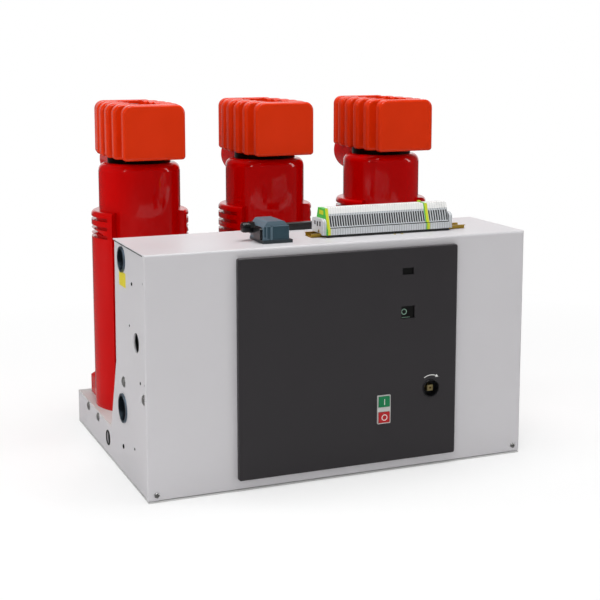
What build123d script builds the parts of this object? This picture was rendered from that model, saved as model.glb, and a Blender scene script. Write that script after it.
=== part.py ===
# Indoor three-pole vacuum circuit breaker, fixed type, with finned heat sinks.
# Millimetres. X runs along the front, Y to the back, Z up.
# The origin is on the floor, under the middle of the front face.

import os
from build123d import *

os.makedirs("parts", exist_ok=True)

# Housing and base
width = 770
height = 450
top_depth = 212
foot_depth = 550
foot_height = 70
cover_sheet = 2
cover_lip = 9
cover_gap = 1.5
frame_sheet = 3
frame_width = width - 2 * cover_sheet
flange = 18
cover_bend_r = 4.5
edge_r = 2.7
taper_top_z = 213
taper_foot_y = 267
floor_hole_r = 6.5
floor_hole_inset_x = 33
floor_hole_inset_y = 50

# Round openings in the side plates, as (y, z, radius)
lifting_tube_wall = 4.5
lifting_tube_length = 32
lifting_tube_proud = 3
upper_lifting_hole = (top_depth - 55, height - 31.5, 24)
lower_lifting_hole = (top_depth - 45, 132, 28)
side_access_hole = (66, 280, 18.5)
side_rear_hole = (291, 38, 13)

# Poles
pole_to_side = 110
pole_pitch = width / 2 - pole_to_side
pole_y = 418
column_r = 83
column_top = 573
shoulder_r = 16
shell_r = 99
shell_top = 476
shell_rim_r = 7
shell_opening = 50
groove_angle = 57
groove_height = 7
groove_depth = 9
groove_pitch = 17.5
groove_count = 3
first_groove_z = 458
shed_half_width = 76
shed_reach = 112
shed_corner_r = 8
shed_thickness = 6
shed_pitch = 14
shed_count = 4
first_shed_z = 132
pole_foot_half_width = 85
pole_foot_reach = 108
pole_foot_top = 118
pole_foot_chamfer = 10

# Terminals that point to the back
boss_r = 44
boss_reach = 157
upper_boss_z = 568
lower_boss_z = 258
boss_start = 30
terminal_r = 34
terminal_reach = 165
terminal_length = 60
terminal_bolt_circle = 46
terminal_hole_r = 5.1
terminal_hole_depth = 25

# Heat sinks
contact_r = 64
sink_bottom = 585
sink_top = 694
contact_overlap = 2
fin_thickness = 23
fin_pitch = 44
fin_widths = (126, 142, 149, 149, 142, 126)
fin_top_r = 18
fin_bottom_r = 7
fin_edge_r = 6
core_width = 74
sink_pocket_width = 54
sink_pocket_length = 150
sink_pocket_depth = 14
boss_clearance = 3

# Front panel
panel_x = 8.5
panel_width = 446
panel_bottom = 22
panel_height = 412
panel_thickness = 10
panel_corner_r = 4
panel_edge_r = 2.5
pocket_depth = 5
window_thickness = 2
counter_place = (125.5, 389)
counter_size = (24, 13)
indicator_place = (126, 310)
indicator_size = (28, 24)

# Push-buttons
button_x = 76
button_width = 23
button_height = 20.5
button_clearance = 0.5
button_gap = 10
buttons_z = 126.5
button_rim = 1.6
button_frame_thickness = 3
button_proud = 2
button_length = 30
button_corner_r = 2
button_travel = 4

# Manual trip
trip_place = (177, 157)
socket_r = 17.5
socket_recess_r = 15.5
socket_proud = 2
socket_floor_y = 2
socket_back_y = 10
shaft_r = 7
shaft_clearance = 0.05
shaft_square = 13
shaft_square_length = 9
shaft_centre_r = 2.2
shaft_centre_depth = 5
shaft_gap = 0.3
shaft_collar_r = 10
shaft_collar_width = 4
shaft_end_y = 34

# Terminal row on its rail
rail_left_x = -38
rail_right_x = 292
rail_y = 88
rail_width = 35
rail_height = 7.5
rail_sheet = 1
rail_floor_width = 27
row_depth = 58
row_height = 54
row_foot_height = 5
row_left_x = -4
row_right_x = 250
earth_width = 8
right_earth_x = 199
end_stop_width = 7
end_stop_height = 30
module_pitch = 5.2
wire_entry_width = 3
wire_entry_height = 21
wire_entry_depth = 6
row_ledge_height = 12
row_ledge_depth = 3
row_slope_depth = 9
row_shoulder_height = 10
row_top_inset = 15
rail_notch_clearance = 0.3

# Heavy-duty connector
connector_x = -122
connector_y = 73.5
hood_width = 52
hood_length = 66
hood_height = 41
hood_chamfer_across = 10
hood_chamfer_down = 13
hood_corner_r = 5
socket_base_height = 6
socket_base_lip = 6
gland_y = 90
gland_z = height + 25
gland_nut_r = 11.5
gland_nut_length = 9
gland_cap_r = 9
gland_cap_length = 15
lever_y = 59
lever_thickness = 5
lever_length = 34
lever_height = 22

# Cable sleeve along the back edge of the top
sleeve_left_x = -62
sleeve_right_x = 60
sleeve_y = 184
sleeve_size = 15

# Front and top cover: one bent sheet whose front has short side lips
cover_bottom = frame_sheet + cover_gap
cover_under = height - cover_sheet
with BuildPart() as cover_inside:
    with BuildSketch(Plane.XY.offset(cover_bottom)):
        with Locations((0, cover_sheet)):
            Rectangle(frame_width, top_depth, align=(Align.CENTER, Align.MIN))
    extrude(amount=cover_under - cover_bottom)
    inner_front = cover_inside.faces().sort_by(Axis.Y)[0]
    fillet(
        inner_front.edges().filter_by(Axis.Z) + inner_front.edges().group_by(Axis.Z)[-1],
        cover_bend_r - cover_sheet,
    )
with BuildPart() as front_cover:
    with BuildSketch(Plane.XY.offset(cover_bottom)):
        Rectangle(width, top_depth, align=(Align.CENTER, Align.MIN))
    extrude(amount=height - cover_bottom)
    outer_front = front_cover.faces().sort_by(Axis.Y)[0]
    fillet(
        outer_front.edges().filter_by(Axis.Z) + outer_front.edges().group_by(Axis.Z)[-1],
        cover_bend_r,
    )
    add(cover_inside.part, mode=Mode.SUBTRACT)
    with BuildSketch(Plane.XY.offset(cover_bottom)):
        with Locations((0, cover_lip)):
            Rectangle(width, top_depth, align=(Align.CENTER, Align.MIN))
    extrude(amount=cover_under - cover_bottom, mode=Mode.SUBTRACT)
    with BuildSketch(Plane.XZ):
        with Locations((button_x, buttons_z)):
            Rectangle(
                button_width + 2 * button_clearance,
                2 * button_height + button_gap + 2 * button_clearance,
            )
        with Locations(trip_place):
            Circle(socket_r)
    extrude(amount=-cover_sheet, mode=Mode.SUBTRACT)
front_cover.part.label = "front_cover"
export_step(front_cover.part, "parts/front_cover.step")

# Side plates, folded inwards all round their edge
corner_relief = cover_bend_r - cover_sheet
side_top = cover_under - cover_gap
side_outline = (
    (cover_sheet, frame_sheet),
    (cover_sheet, side_top - corner_relief),
    (cover_sheet + corner_relief, side_top),
    (top_depth, side_top),
    (top_depth + 4, taper_top_z),
    (taper_foot_y, foot_height - frame_sheet),
    (foot_depth - frame_sheet, foot_height - frame_sheet),
    (foot_depth - frame_sheet, frame_sheet),
)
with BuildPart() as side_plate_left:
    with BuildSketch(Plane.YZ.offset(-frame_width / 2)):
        with BuildLine():
            Polyline(*side_outline, close=True)
        make_face()
    extrude(amount=flange)
    fillet(side_plate_left.faces().sort_by(Axis.X)[0].edges(), edge_r)
    with BuildSketch(Plane.YZ.offset(frame_sheet - frame_width / 2)):
        with BuildLine():
            Polyline(*side_outline, close=True)
        make_face()
        offset(amount=-frame_sheet, kind=Kind.INTERSECTION, mode=Mode.REPLACE)
    extrude(amount=flange, mode=Mode.SUBTRACT)
    with BuildSketch(Plane.YZ.offset(-frame_width / 2)):
        for hole_y, hole_z, hole_r in (
            upper_lifting_hole,
            lower_lifting_hole,
            side_access_hole,
            side_rear_hole,
        ):
            with Locations((hole_y, hole_z)):
                Circle(hole_r)
    extrude(amount=frame_sheet, mode=Mode.SUBTRACT)
side_plate_left.part.label = "side_plate_left"
export_step(side_plate_left.part, "parts/side_plate_left.step")

with BuildPart() as side_plate_right:
    add(side_plate_left.part.mirror(Plane.YZ))
side_plate_right.part.label = "side_plate_right"
export_step(side_plate_right.part, "parts/side_plate_right.step")

# Floor plate with its four fixing holes
floor_hole_span_x = frame_width - 2 * floor_hole_inset_x
floor_hole_span_y = foot_depth - 2 * floor_hole_inset_y
with BuildPart() as base_plate:
    with BuildSketch():
        with Locations((0, foot_depth / 2)):
            Rectangle(frame_width, foot_depth)
            with GridLocations(floor_hole_span_x, floor_hole_span_y, 2, 2):
                Circle(floor_hole_r, mode=Mode.SUBTRACT)
    extrude(amount=frame_sheet)
base_plate.part.label = "base_plate"
export_step(base_plate.part, "parts/base_plate.step")

# Deck under the poles, bent down at the back
with BuildPart() as rear_deck:
    with BuildSketch(Plane.YZ.offset(-frame_width / 2)):
        with BuildLine():
            Polyline(
                (taper_foot_y, foot_height),
                (foot_depth, foot_height),
                (foot_depth, frame_sheet),
                (foot_depth - frame_sheet, frame_sheet),
                (foot_depth - frame_sheet, foot_height - frame_sheet),
                (taper_foot_y, foot_height - frame_sheet),
                close=True,
            )
        make_face()
    extrude(amount=frame_width)
    deck_bend = rear_deck.edges().filter_by(Axis.X).group_by(Axis.Y)[-1].sort_by(Axis.Z)[-1]
    fillet(deck_bend, frame_sheet)
    with BuildSketch(Plane.XY.offset(foot_height - frame_sheet)):
        with Locations((0, (top_depth + taper_foot_y) / 2)):
            Rectangle(frame_width - 2 * flange - 1, taper_foot_y - top_depth)
    extrude(amount=frame_sheet)
rear_deck.part.label = "rear_deck"
export_step(rear_deck.part, "parts/rear_deck.step")

# Back wall of the mechanism housing, between the folded side edges
with BuildPart() as back_plate:
    with BuildSketch(Plane.XZ.offset(-top_depth)):
        with Locations((0, (cover_under + frame_sheet) / 2)):
            Rectangle(frame_width - 2 * flange - 0.6, cover_under - frame_sheet)
    extrude(amount=frame_sheet)
back_plate.part.label = "back_plate"
export_step(back_plate.part, "parts/back_plate.step")

# Steel tubes in the lifting holes, the same on both sides
for level, (tube_y, tube_z, tube_r) in (("upper", upper_lifting_hole), ("lower", lower_lifting_hole)):
    with BuildPart() as lifting_tube:
        with BuildSketch(Plane.YZ.offset(-frame_width / 2 - lifting_tube_proud)):
            with Locations((tube_y, tube_z)):
                Circle(tube_r)
                Circle(tube_r - lifting_tube_wall, mode=Mode.SUBTRACT)
        extrude(amount=lifting_tube_length)
    lifting_tube.part.label = f"{level}_lifting_tube_left"
    export_step(lifting_tube.part, f"parts/{level}_lifting_tube_left.step")
    opposite_tube = lifting_tube.part.mirror(Plane.YZ)
    opposite_tube.label = f"{level}_lifting_tube_right"
    export_step(opposite_tube, f"parts/{level}_lifting_tube_right.step")


# Sector in front of a pole that its back shell leaves open
def front_sector(half_angle):
    reach = 2 * shell_r
    side = reach * Vector(0, -1).rotate(Axis.Z, half_angle)
    return [(0, 0), (side.X, side.Y), (side.X, -reach), (-side.X, -reach), (-side.X, side.Y)]


# Cast resin pole: foot, back shell with its creepage grooves, sheds, column and terminal bosses
with BuildPart() as pole:
    with BuildSketch(Plane.XY.offset(foot_height)):
        with Locations((0, pole_foot_reach / 2)):
            Rectangle(2 * pole_foot_half_width, pole_foot_reach)
    extrude(amount=pole_foot_top - foot_height)
    chamfer(pole.faces().sort_by(Axis.Z)[-1].edges(), pole_foot_chamfer)
    with BuildSketch(Plane.XY.offset(foot_height)):
        Circle(shell_r)
        Polygon(*front_sector(shell_opening), align=None, mode=Mode.SUBTRACT)
    extrude(amount=shell_top - foot_height)
    rim = pole.faces().sort_by(Axis.Z)[-1].edges().sort_by(Edge.length)[-1]
    fillet(rim, shell_rim_r)
    for groove in range(groove_count):
        with BuildSketch(Plane.XY.offset(first_groove_z - groove * groove_pitch)):
            Circle(shell_r + 1)
            Polygon(*front_sector(groove_angle), align=None, mode=Mode.SUBTRACT)
            Circle(shell_r - groove_depth, mode=Mode.SUBTRACT)
        extrude(amount=groove_height, mode=Mode.SUBTRACT)
    for shed in range(shed_count):
        with BuildSketch(Plane.XY.offset(first_shed_z + shed * shed_pitch)):
            with Locations((0, shed_reach / 2)):
                Rectangle(2 * shed_half_width, shed_reach)
            fillet(vertices().group_by(Axis.Y)[-1], shed_corner_r)
        extrude(amount=shed_thickness)
    with BuildSketch(Plane.XY.offset(foot_height)):
        Circle(column_r)
    extrude(amount=column_top - foot_height)
    shoulder = pole.faces().sort_by(Axis.Z)[-1].edges()
    fillet(shoulder, shoulder_r)
    with BuildSketch(Plane.XZ.offset(-boss_start)):
        with Locations((0, upper_boss_z), (0, lower_boss_z)):
            Circle(boss_r)
    extrude(amount=boss_start - boss_reach)
    with BuildSketch(Plane.XZ.offset(-(terminal_reach - terminal_length))):
        with Locations((0, upper_boss_z), (0, lower_boss_z)):
            Circle(terminal_r)
    extrude(amount=-terminal_length, mode=Mode.SUBTRACT)

# Terminal post that sits in a boss, with tapped holes in its end
with BuildPart() as terminal:
    with BuildSketch(Plane.XZ.offset(-(terminal_reach - terminal_length))):
        Circle(terminal_r)
    extrude(amount=-terminal_length)
    with BuildSketch(Plane.XZ.offset(-terminal_reach)):
        with PolarLocations(terminal_bolt_circle / 2, 4, start_angle=45):
            Circle(terminal_hole_r)
    extrude(amount=terminal_hole_depth, mode=Mode.SUBTRACT)

# Contact block between the pole's top and its heat sink, cut away behind for the upper boss
contact_top = sink_bottom + contact_overlap
with BuildPart() as top_contact:
    with BuildSketch(Plane.XY.offset(column_top)):
        Circle(contact_r)
        with Locations((0, boss_start - boss_clearance)):
            Rectangle(
                2 * (boss_r + boss_clearance),
                contact_r,
                align=(Align.CENTER, Align.MIN),
                mode=Mode.SUBTRACT,
            )
    extrude(amount=contact_top - column_top)

# Upright fins, one for each width, before they are placed from front to back
fins = []
for fin_width in fin_widths:
    with BuildPart() as fin:
        with BuildSketch(Plane.XZ):
            with Locations((0, (sink_top + sink_bottom) / 2)):
                Rectangle(fin_width, sink_top - sink_bottom)
            fillet(vertices().group_by(Axis.Y)[-1], fin_top_r)
            fillet(vertices().group_by(Axis.Y)[0], fin_bottom_r)
        extrude(amount=fin_thickness / 2, both=True)
        fillet(fin.faces().filter_by(Plane.XZ).edges(), fin_edge_r)
    fins.append(fin.part)

# Heat sink: fins on a core, with a pocket in the top and a channel over the upper boss
sink_depth = fin_pitch * (len(fin_widths) - 1) + fin_thickness
with BuildPart() as heat_sink:
    with BuildSketch(Plane.XY.offset(contact_top)):
        Rectangle(core_width, sink_depth - fin_thickness)
    extrude(amount=sink_top - fin_edge_r - contact_top)
    for row, fin_part in enumerate(fins):
        with Locations((0, row * fin_pitch + (fin_thickness - sink_depth) / 2, 0)):
            add(fin_part)
    with BuildSketch(Plane.XY.offset(contact_top)):
        Circle(contact_r)
    extrude(amount=sink_bottom - contact_top - fin_edge_r, mode=Mode.SUBTRACT)
    with BuildSketch(Plane.XY.offset(sink_top)):
        RectangleRounded(sink_pocket_width, sink_pocket_length, sink_pocket_width / 5)
    extrude(amount=-sink_pocket_depth, mode=Mode.SUBTRACT)
    with BuildSketch(Plane.XZ.offset(boss_clearance - boss_start)):
        with Locations((0, upper_boss_z)):
            Circle(boss_r + boss_clearance)
            Rectangle(
                2 * (boss_r + boss_clearance),
                boss_r,
                align=(Align.CENTER, Align.MAX),
            )
    extrude(amount=-sink_depth, mode=Mode.SUBTRACT)

# The three poles with what each one carries
for place, pole_x in (("left", -pole_pitch), ("middle", 0), ("right", pole_pitch)):
    for name, piece, z in (
        ("pole", pole, 0),
        ("upper_terminal", terminal, upper_boss_z),
        ("lower_terminal", terminal, lower_boss_z),
        ("top_contact", top_contact, 0),
        ("heat_sink", heat_sink, 0),
    ):
        placed = Pos(pole_x, pole_y, z) * piece.part
        placed.label = f"{name}_{place}"
        export_step(placed, f"parts/{name}_{place}.step")

# Moulded front panel with its windows' pockets and the openings for the controls
opening_width = button_width + 2 * button_clearance
opening_height = button_height + 2 * button_clearance
opening_step = button_height + button_gap
with BuildPart() as front_panel:
    with BuildSketch(Plane.XZ):
        with Locations((panel_x, panel_bottom + panel_height / 2)):
            RectangleRounded(panel_width, panel_height, panel_corner_r)
    extrude(amount=panel_thickness)
    fillet(front_panel.faces().sort_by(Axis.Y)[0].edges(), panel_edge_r)
    with BuildSketch(Plane.XZ.offset(panel_thickness)):
        with Locations(counter_place):
            Rectangle(*counter_size)
        with Locations(indicator_place):
            Rectangle(*indicator_size)
    extrude(amount=-pocket_depth, mode=Mode.SUBTRACT)
    with BuildSketch(Plane.XZ.offset(panel_thickness)):
        with Locations(trip_place):
            Circle(socket_r)
        with Locations((button_x, buttons_z)):
            Rectangle(opening_width, opening_height + opening_step)
    extrude(amount=-panel_thickness, mode=Mode.SUBTRACT)
front_panel.part.label = "front_panel"
export_step(front_panel.part, "parts/front_panel.step")

# Windows on the floor of their pockets
window_floor = panel_thickness - pocket_depth
for name, place, size in (
    ("counter_window", counter_place, counter_size),
    ("indicator_window", indicator_place, indicator_size),
):
    with BuildPart() as window:
        with BuildSketch(Plane.XZ.offset(window_floor)):
            with Locations(place):
                Rectangle(*size)
        extrude(amount=window_thickness)
    window.part.label = name
    export_step(window.part, f"parts/{name}.step")

# Frame round the two buttons, with the bar between them running back through the cover
frame_width = opening_width + 2 * button_rim
frame_height = opening_height + opening_step + 2 * button_rim
with BuildPart() as button_frame:
    with BuildSketch(Plane.XZ.offset(panel_thickness)):
        with Locations((button_x, buttons_z)):
            RectangleRounded(frame_width, frame_height, button_rim)
            with GridLocations(0, opening_step, 1, 2):
                Rectangle(opening_width, opening_height, mode=Mode.SUBTRACT)
    extrude(amount=button_frame_thickness)
button_frame.part.label = "button_frame"
export_step(button_frame.part, "parts/button_frame.step")

bar_height = button_gap - 2 * button_clearance
with BuildPart() as button_bar:
    with BuildSketch(Plane.XZ.offset(panel_thickness)):
        with Locations((button_x, buttons_z)):
            Rectangle(opening_width, bar_height)
    extrude(amount=-(panel_thickness + cover_sheet))
button_bar.part.label = "button_bar"
export_step(button_bar.part, "parts/button_bar.step")

# Push-buttons, the upper to close the breaker and the lower to open it
button_face = panel_thickness + button_frame_thickness + button_proud
for name, side in (("on_button", 1), ("off_button", -1)):
    with BuildPart() as button:
        with BuildSketch(Plane.XZ.offset(button_face)):
            with Locations((button_x, buttons_z + side * opening_step / 2)):
                RectangleRounded(button_width, button_height, button_corner_r)
        extrude(amount=-button_length)
        fillet(button.faces().sort_by(Axis.Y)[0].edges(), button_corner_r / 2)
    button.part.label = name
    export_step(button.part, f"parts/{name}.step")

# Round socket of the manual trip
with BuildPart() as trip_socket:
    with BuildSketch(Plane.XZ.offset(panel_thickness + socket_proud)):
        with Locations(trip_place):
            Circle(socket_r)
    extrude(amount=-(panel_thickness + socket_proud + socket_back_y))
    fillet(trip_socket.faces().sort_by(Axis.Y)[0].edges(), socket_proud / 2)
    with BuildSketch(Plane.XZ.offset(panel_thickness + socket_proud)):
        with Locations(trip_place):
            Circle(socket_recess_r)
    extrude(amount=-(panel_thickness + socket_proud + socket_floor_y), mode=Mode.SUBTRACT)
    with BuildSketch(Plane.XZ.offset(-socket_floor_y)):
        with Locations(trip_place):
            Circle(shaft_r + shaft_clearance)
    extrude(amount=-(socket_back_y - socket_floor_y), mode=Mode.SUBTRACT)
trip_socket.part.label = "trip_socket"
export_step(trip_socket.part, "parts/trip_socket.step")

# Trip shaft: square end in the socket, journal through its floor, collar behind
square_back_y = socket_floor_y - shaft_gap
collar_y = socket_back_y + shaft_gap
with BuildPart() as trip_shaft:
    with BuildSketch(Plane.XZ.offset(-square_back_y)):
        with Locations(trip_place):
            Rectangle(shaft_square, shaft_square)
    extrude(amount=shaft_square_length)
    chamfer(trip_shaft.faces().sort_by(Axis.Y)[0].edges(), 1)
    with BuildSketch(Plane.XZ.offset(shaft_square_length - square_back_y)):
        with Locations(trip_place):
            Circle(shaft_centre_r)
    extrude(amount=-shaft_centre_depth, mode=Mode.SUBTRACT)
    with BuildSketch(Plane.XZ.offset(-square_back_y)):
        with Locations(trip_place):
            Circle(shaft_r)
    extrude(amount=-(shaft_end_y - square_back_y))
    with BuildSketch(Plane.XZ.offset(-collar_y)):
        with Locations(trip_place):
            Circle(shaft_collar_r)
    extrude(amount=-shaft_collar_width)
trip_shaft.part.label = "trip_shaft"
export_step(trip_shaft.part, "parts/trip_shaft.step")

# Top-hat rail on the housing
rail_top = height + rail_height
with BuildPart() as din_rail:
    with BuildSketch(Plane.YZ.offset(rail_left_x)):
        with Locations((rail_y, height + rail_sheet / 2)):
            Rectangle(rail_floor_width, rail_sheet)
        for side in (-1, 1):
            with Locations((rail_y + side * (rail_floor_width - rail_sheet) / 2, height + rail_height / 2)):
                Rectangle(rail_sheet, rail_height)
            with Locations((rail_y + side * (rail_width + rail_floor_width - 2 * rail_sheet) / 4,
                            rail_top - rail_sheet / 2)):
                Rectangle((rail_width - rail_floor_width) / 2 + rail_sheet, rail_sheet)
    extrude(amount=rail_right_x - rail_left_x)
din_rail.part.label = "din_rail"
export_step(din_rail.part, "parts/din_rail.step")

# Cross-section of one terminal, as (y, z) from the front foot to the back one
row_front_y = rail_y - row_depth / 2
row_back_y = rail_y + row_depth / 2
row_bottom = height + row_foot_height
row_top = height + row_height
row_ledge_z = row_bottom + row_ledge_height
row_shoulder_z = row_top - row_shoulder_height
entry_low = (row_front_y + row_ledge_depth, row_ledge_z)
entry_high = (row_front_y + row_ledge_depth + row_slope_depth, row_shoulder_z)
terminal_profile = (
    (row_front_y, row_bottom),
    (row_front_y, row_ledge_z),
    entry_low,
    entry_high,
    (row_front_y + row_top_inset, row_top),
    (row_back_y - row_top_inset, row_top),
    (row_back_y - row_ledge_depth - row_slope_depth, row_shoulder_z),
    (row_back_y - row_ledge_depth, row_ledge_z),
    (row_back_y, row_ledge_z),
    (row_back_y, row_bottom),
)
notch_width = rail_width + 2 * rail_notch_clearance
entry_plane = Plane(
    origin=(0, (entry_low[0] + entry_high[0]) / 2, (entry_low[1] + entry_high[1]) / 2),
    x_dir=(1, 0, 0),
    z_dir=(0, entry_low[1] - entry_high[1], entry_high[0] - entry_low[0]),
)
for name, left_x, right_x in (
    ("earth_terminal_left", row_left_x - earth_width, row_left_x),
    ("terminal_row", row_left_x, right_earth_x),
    ("earth_terminal_right", right_earth_x, right_earth_x + earth_width),
    ("terminal_row_end", right_earth_x + earth_width, row_right_x),
):
    row_length = right_x - left_x
    modules = int(row_length / module_pitch)
    with BuildPart() as terminals:
        with BuildSketch(Plane.YZ.offset(left_x)):
            Polygon(*terminal_profile, align=None)
            with Locations((rail_y, rail_top)):
                Rectangle(notch_width, row_height, align=(Align.CENTER, Align.MAX), mode=Mode.SUBTRACT)
        extrude(amount=row_length)
        with BuildSketch(entry_plane):
            with Locations(((left_x + right_x) / 2, 0)):
                with GridLocations(row_length / modules, 0, modules, 1):
                    Rectangle(wire_entry_width, wire_entry_height)
        extrude(amount=-wire_entry_depth, mode=Mode.SUBTRACT)
    terminals.part.label = name
    export_step(terminals.part, f"parts/{name}.step")

# Stops that clamp the row's ends on the rail
for name, left_x in (
    ("end_stop_left", row_left_x - earth_width - end_stop_width),
    ("end_stop_right", row_right_x),
):
    with BuildPart() as end_stop:
        with BuildSketch(Plane.YZ.offset(left_x)):
            with Locations((rail_y, row_bottom + end_stop_height / 2)):
                Rectangle(row_depth - 4, end_stop_height)
            fillet(vertices().group_by(Axis.Y)[-1], end_stop_height / 4)
            with Locations((rail_y, rail_top)):
                Rectangle(notch_width, row_height, align=(Align.CENTER, Align.MAX), mode=Mode.SUBTRACT)
        extrude(amount=end_stop_width)
    end_stop.part.label = name
    export_step(end_stop.part, f"parts/{name}.step")

# Connector base, hood, locking lever and gland
with BuildPart() as connector_base:
    with BuildSketch(Plane.XY.offset(height)):
        with Locations((connector_x + socket_base_lip / 2, connector_y)):
            Rectangle(hood_width + socket_base_lip, hood_length + socket_base_lip)
    extrude(amount=socket_base_height)
connector_base.part.label = "connector_base"
export_step(connector_base.part, "parts/connector_base.step")

hood_bottom = height + socket_base_height
hood_top = height + hood_height
hood_profile = (
    (-hood_width / 2, hood_bottom),
    (-hood_width / 2, hood_top - hood_chamfer_down),
    (hood_chamfer_across - hood_width / 2, hood_top),
    (hood_width / 2 - hood_chamfer_across, hood_top),
    (hood_width / 2, hood_top - hood_chamfer_down),
    (hood_width / 2, hood_bottom),
)
with BuildPart() as connector_hood:
    with BuildSketch(Plane.XZ.offset(-(connector_y - hood_length / 2))):
        with Locations((connector_x, 0)):
            Polygon(*hood_profile, align=None)
        fillet(vertices().group_by(Axis.Y)[1:], hood_corner_r)
    extrude(amount=-hood_length)
connector_hood.part.label = "connector_hood"
export_step(connector_hood.part, "parts/connector_hood.step")

hood_left_x = connector_x - hood_width / 2
with BuildPart() as locking_lever:
    with BuildSketch(Plane.YZ.offset(hood_left_x)):
        with Locations((lever_y, hood_bottom)):
            Rectangle(lever_length, lever_height, align=(Align.CENTER, Align.MIN))
        fillet(vertices(), lever_height / 5)
    extrude(amount=-lever_thickness)
locking_lever.part.label = "locking_lever"
export_step(locking_lever.part, "parts/locking_lever.step")

with BuildPart() as cable_gland:
    with BuildSketch(Plane.YZ.offset(hood_left_x)):
        with Locations((gland_y, gland_z)):
            RegularPolygon(gland_nut_r, 6)
    extrude(amount=-gland_nut_length)
    with BuildSketch(Plane.YZ.offset(hood_left_x - gland_nut_length)):
        with Locations((gland_y, gland_z)):
            Circle(gland_cap_r)
    extrude(amount=-gland_cap_length)
    fillet(cable_gland.faces().sort_by(Axis.X)[0].edges(), gland_cap_r / 3)
cable_gland.part.label = "cable_gland"
export_step(cable_gland.part, "parts/cable_gland.step")

# Sleeve over the wires that enter the housing behind the connector
with BuildPart() as cable_sleeve:
    with BuildSketch(Plane.YZ.offset(sleeve_left_x)):
        with Locations((sleeve_y, height + sleeve_size / 2)):
            RectangleRounded(sleeve_size, sleeve_size, sleeve_size / 4)
    extrude(amount=sleeve_right_x - sleeve_left_x)
cable_sleeve.part.label = "cable_sleeve"
export_step(cable_sleeve.part, "parts/cable_sleeve.step")
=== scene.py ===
"""Looks of an indoor three-pole vacuum circuit breaker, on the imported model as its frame."""

import math

import bmesh
import bpy
from mathutils import Matrix, Vector


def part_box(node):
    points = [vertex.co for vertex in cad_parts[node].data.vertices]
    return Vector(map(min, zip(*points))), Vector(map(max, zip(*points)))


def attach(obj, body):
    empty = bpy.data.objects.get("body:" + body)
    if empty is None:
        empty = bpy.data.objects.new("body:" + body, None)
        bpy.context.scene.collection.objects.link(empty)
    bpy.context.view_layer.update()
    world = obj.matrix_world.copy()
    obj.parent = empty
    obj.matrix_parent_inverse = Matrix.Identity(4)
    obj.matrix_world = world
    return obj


bl_info = {
    "name": "Vacuum circuit breaker finishes",
    "version": (1, 0, 0),
    "blender": (4, 5, 0),
    "location": "3D View > Sidebar > Breaker",
    "description": "Finishes and small fittings for an indoor vacuum circuit breaker",
    "category": "Object",
}

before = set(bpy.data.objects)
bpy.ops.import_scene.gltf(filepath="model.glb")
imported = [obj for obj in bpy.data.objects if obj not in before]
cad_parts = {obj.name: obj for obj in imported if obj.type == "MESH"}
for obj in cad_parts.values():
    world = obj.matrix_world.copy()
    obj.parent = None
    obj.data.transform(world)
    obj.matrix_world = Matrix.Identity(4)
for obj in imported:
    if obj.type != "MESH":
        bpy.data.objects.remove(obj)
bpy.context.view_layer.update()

MM = 0.001
FULL_TURN = 2 * math.pi
WELD_DISTANCE = 0.01 * MM
WHITE = (1, 1, 1, 1)
BODY = "breaker"
PLACES = ("left", "middle", "right")
SIDES = (("left", -1), ("right", 1))
ROWS = ("terminal_row", "terminal_row_end")


def box_of(node):
    """Lowest and highest corner of a CAD node in metres."""
    low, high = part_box(node)
    return Vector(low), Vector(high)


def middle_of(node):
    """Middle of a CAD node's box in metres."""
    low, high = box_of(node)
    return (low + high) / 2


def offset(corner, x, y, z):
    """The point this many millimetres from a corner."""
    return Vector(corner) + Vector((x, y, z)) * MM


# Colours and sizes that a user may change


def linear(hex_colour):
    """sRGB hex to the linear colour that a shader takes."""
    channels = [int(hex_colour[i : i + 2], 16) / 255 for i in (1, 3, 5)]
    return tuple(
        c / 12.92 if c <= 0.04045 else ((c + 0.055) / 1.055) ** 2.4 for c in channels
    ) + (1.0,)


def colour_property(name, description, hex_colour):
    return bpy.props.FloatVectorProperty(
        name=name,
        description=description,
        default=linear(hex_colour),
        size=4,
        min=0,
        max=1,
        subtype="COLOR",
    )


def length_property(name, description, millimetres):
    return bpy.props.FloatProperty(
        name=name,
        description=description,
        default=millimetres * MM,
        min=0,
        unit="LENGTH",
        subtype="DISTANCE",
    )


class BREAKER_PG_housing(bpy.types.PropertyGroup):
    paint: colour_property("Housing paint", "Powder coat of the cover and side plates", "#D3D1D4")
    base_paint: colour_property("Base paint", "Powder coat of the floor plate and deck", "#D6D6D5")
    tube: colour_property("Lifting tube", "Blue-grey plating of the lifting tubes", "#6F808E")
    zinc: colour_property("Zinc", "Zinc-plated screws and bolts", "#C2C2C0")
    marker: colour_property("Marker", "Plain marker under the upper lifting hole", "#E3D227")
    rivet: colour_property("Rivets", "Blackened hollow rivets", "#2A2B2C")
    # The edging's black rubber also paints the shade in the gap under the cover's top
    rubber_and_gap_shade: colour_property("Edging", "Black rubber round the rear holes", "#0E0E0F")
    screw_radius: length_property("Screw head", "Radius of the cover screws' heads", 5)


class BREAKER_PG_poles(bpy.types.PropertyGroup):
    resin: colour_property("Cast resin", "Glossy cast epoxy of the poles", "#C80000")
    coating: colour_property("Sink coating", "Dipped coating of the heat sinks", "#E03408")
    # Near-black, which paints the shade in the gap under the heat sinks in place of the plated
    # copper's own colour
    contact: colour_property("Contact block", "Darkened copper of the contact blocks", "#1E1512")
    tin: colour_property("Tinned copper", "Tin plating of the terminals", "#BDB8AE")


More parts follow.
